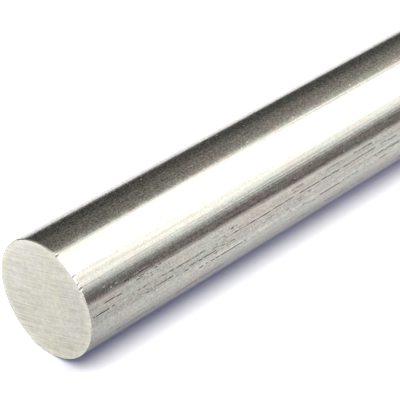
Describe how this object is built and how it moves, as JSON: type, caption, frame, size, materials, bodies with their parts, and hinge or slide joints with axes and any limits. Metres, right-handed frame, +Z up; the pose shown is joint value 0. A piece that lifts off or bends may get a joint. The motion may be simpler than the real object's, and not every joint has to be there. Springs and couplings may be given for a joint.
{
  "type": "round bar",
  "caption": "Solid round metal bar, a cut length of bright drawn stock with square sawn ends and lightly broken edges, for machining, pins, shafts and frames.",
  "frame": {"origin": "half way along the bar, on its lowest line, where it touches the level surface it lies on", "axes": "+X along the bar's own axis, from the sawn end in the picture's foreground towards the far end; +Z up; +Y level, across the bar and away from the picture's viewpoint"},
  "size_m": [0.3, 0.025, 0.025],
  "materials": {
    "bright_drawn_steel": "satin"
  },
  "bodies": {
    "root": {"round_bar": "bright_drawn_steel"}
  },
  "joints": []
}
